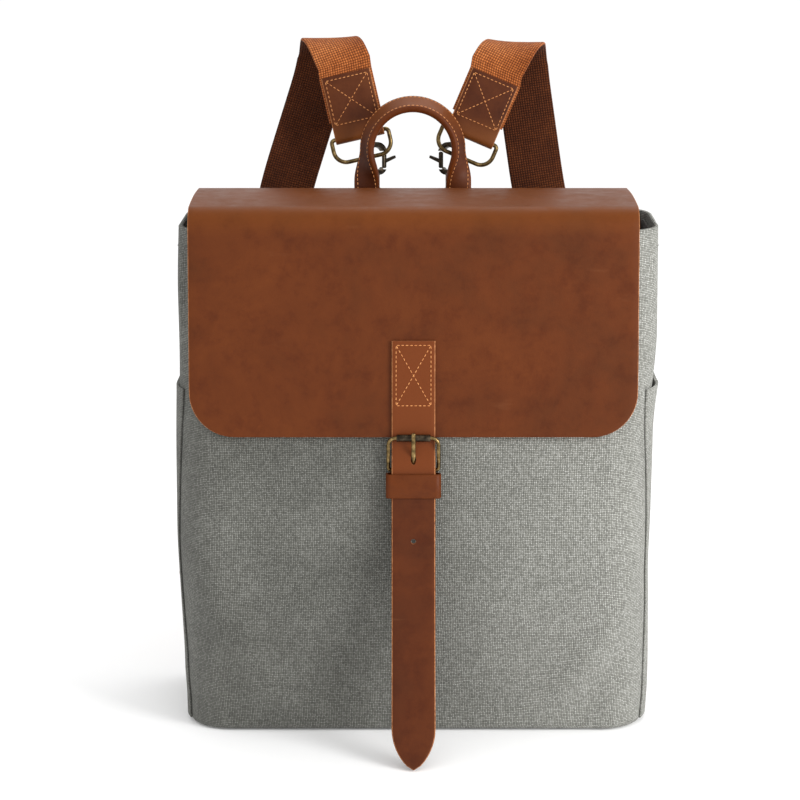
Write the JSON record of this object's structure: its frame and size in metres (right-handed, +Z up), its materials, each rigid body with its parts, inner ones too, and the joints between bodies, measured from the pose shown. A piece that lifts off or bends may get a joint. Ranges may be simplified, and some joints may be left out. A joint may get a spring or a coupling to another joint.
{
  "type": "travel backpack",
  "caption": "Square canvas backpack with a fold-over leather flap, one centre strap and buckle, a carry handle, side slip pockets and clip-on webbing shoulder straps.",
  "frame": {"origin": "middle of the base, on the surface it stands on", "axes": "+Z up, the front with the buckle faces -Y, +X to the right as seen from the front"},
  "size_m": [0.338, 0.2656, 0.4562],
  "materials": {
    "canvas": "stone-washed heavy cotton canvas, matt",
    "leather": "oiled pull-up leather, satin",
    "webbing": "coarse cotton webbing, matt",
    "antique_brass": "aged brass plating, satin",
    "dark_metal": "dark antique plating, satin",
    "lining": "thin plain cotton, matt",
    "board": "plain stiffener"
  },
  "bodies": {
    "bag": {"base_panel": "canvas", "front_panel": "canvas", "back_panel": "canvas", "gusset_left": "canvas", "gusset_right": "canvas", "mouth_hem": "canvas", "side_pocket_left": "canvas", "side_pocket_right": "canvas", "base_board": "board", "lining": "lining", "laptop_sleeve": "lining", "snap_base": "antique_brass", "flap_back": "leather", "back_yoke": "leather", "handle_foot_left": "leather", "handle_foot_right": "leather", "anchor_tab_left": "leather", "anchor_tab_right": "leather", "lower_tab_left": "leather", "lower_tab_right": "leather"},
    "flap_top": {"flap_top": "leather"},
    "flap_front": {"flap_front": "leather", "flap_strap": "leather", "buckle_chape": "leather", "keeper": "leather", "snap_cap": "antique_brass"},
    "buckle_frame": {"buckle_frame": "antique_brass"},
    "buckle_roller": {"buckle_roller": "antique_brass"},
    "buckle_tongue": {"buckle_tongue": "antique_brass"},
    "strap_tail": {"strap_tail": "leather"},
    "handle": {"carry_handle": "leather"},
    "shoulder_strap_left": {"webbing_left": "webbing", "end_tab_left": "leather", "strap_ring_left": "antique_brass", "swivel_eye_left": "dark_metal", "lower_ring_left": "antique_brass"},
    "snap_hook_left": {"snap_hook_left": "dark_metal"},
    "snap_gate_left": {"snap_gate_left": "dark_metal"},
    "slider_left": {"slider_left": "antique_brass"},
    "shoulder_strap_right": {"webbing_right": "webbing", "end_tab_right": "leather", "strap_ring_right": "antique_brass", "swivel_eye_right": "dark_metal", "lower_ring_right": "antique_brass"},
    "snap_hook_right": {"snap_hook_right": "dark_metal"},
    "snap_gate_right": {"snap_gate_right": "dark_metal"},
    "slider_right": {"slider_right": "antique_brass"}
  },
  "joints": [
    {"name": "flap_lift", "type": "hinge", "parent": "bag", "child": "flap_top", "pos_m": [0, 0.052, 0.343], "axis": [-1, 0, 0], "range_deg": [0, 70]},
    {"name": "flap_unbend", "type": "hinge", "parent": "flap_top", "child": "flap_front", "pos_m": [0, -0.03003, 0.3428], "axis": [-1, 0, 0], "range_deg": [0, 56]},
    {"name": "buckle_tilt", "type": "hinge", "parent": "flap_front", "child": "buckle_frame", "pos_m": [0, -0.06486, 0.18527], "axis": [1, 0, 0], "range_deg": [0, 10]},
    {"name": "roller_spin", "type": "hinge", "parent": "buckle_frame", "child": "buckle_roller", "pos_m": [0, -0.06586, 0.20756], "axis": [1, 0, 0], "continuous": true},
    {"name": "tongue_lift", "type": "hinge", "parent": "buckle_frame", "child": "buckle_tongue", "pos_m": [0, -0.06486, 0.18527], "axis": [1, 0, 0], "range_deg": [0, 8]},
    {"name": "strap_tail_swing", "type": "hinge", "parent": "flap_front", "child": "strap_tail", "pos_m": [0, -0.07202, 0.1655], "axis": [-1, 0, 0], "range_deg": [0, 55]},
    {"name": "handle_fold", "type": "hinge", "parent": "bag", "child": "handle", "pos_m": [0, 0.0705, 0.351], "axis": [-1, 0, 0], "range_deg": [-40, 0]},
    {"name": "shoulder_strap_left_swing", "type": "hinge", "parent": "bag", "child": "shoulder_strap_left", "pos_m": [-0.0266, 0.0814, 0.34], "axis": [-0.4013, -0.038, -0.9152], "range_deg": [-5, 5]},
    {"name": "snap_hook_left_swivel", "type": "hinge", "parent": "shoulder_strap_left", "child": "snap_hook_left", "pos_m": [-0.0266, 0.0814, 0.34], "axis": [0, -0.2279, -0.9737], "range_deg": [-6, 2]},
    {"name": "snap_gate_left_press", "type": "hinge", "parent": "snap_hook_left", "child": "snap_gate_left", "pos_m": [-0.02009, 0.09315, 0.36621], "axis": [0.6428, -0.7459, 0.1746], "range_deg": [0, 14], "stiffness_Nm_per_rad": 0.01, "springref_deg": -22.92},
    {"name": "slider_left_slide", "type": "slide", "parent": "shoulder_strap_left", "child": "slider_left", "axis": [0.2091, 0.141, 0.9677], "range_m": [-0.015, 0.018]},
    {"name": "shoulder_strap_right_swing", "type": "hinge", "parent": "bag", "child": "shoulder_strap_right", "pos_m": [0.0266, 0.0814, 0.34], "axis": [-0.4013, 0.038, 0.9152], "range_deg": [-5, 5]},
    {"name": "snap_hook_right_swivel", "type": "hinge", "parent": "shoulder_strap_right", "child": "snap_hook_right", "pos_m": [0.0266, 0.0814, 0.34], "axis": [0, 0.2279, 0.9737], "range_deg": [-6, 2]},
    {"name": "snap_gate_right_press", "type": "hinge", "parent": "snap_hook_right", "child": "snap_gate_right", "pos_m": [0.02009, 0.09315, 0.36621], "axis": [0.6428, 0.7459, -0.1746], "range_deg": [0, 14], "stiffness_Nm_per_rad": 0.01, "springref_deg": -22.92},
    {"name": "slider_right_slide", "type": "slide", "parent": "shoulder_strap_right", "child": "slider_right", "axis": [-0.2091, 0.141, 0.9677], "range_m": [-0.015, 0.018]}
  ],
  "couplings": [
    {"joint": "flap_unbend", "follows": "flap_lift", "ratio": 0.8}
  ]
}
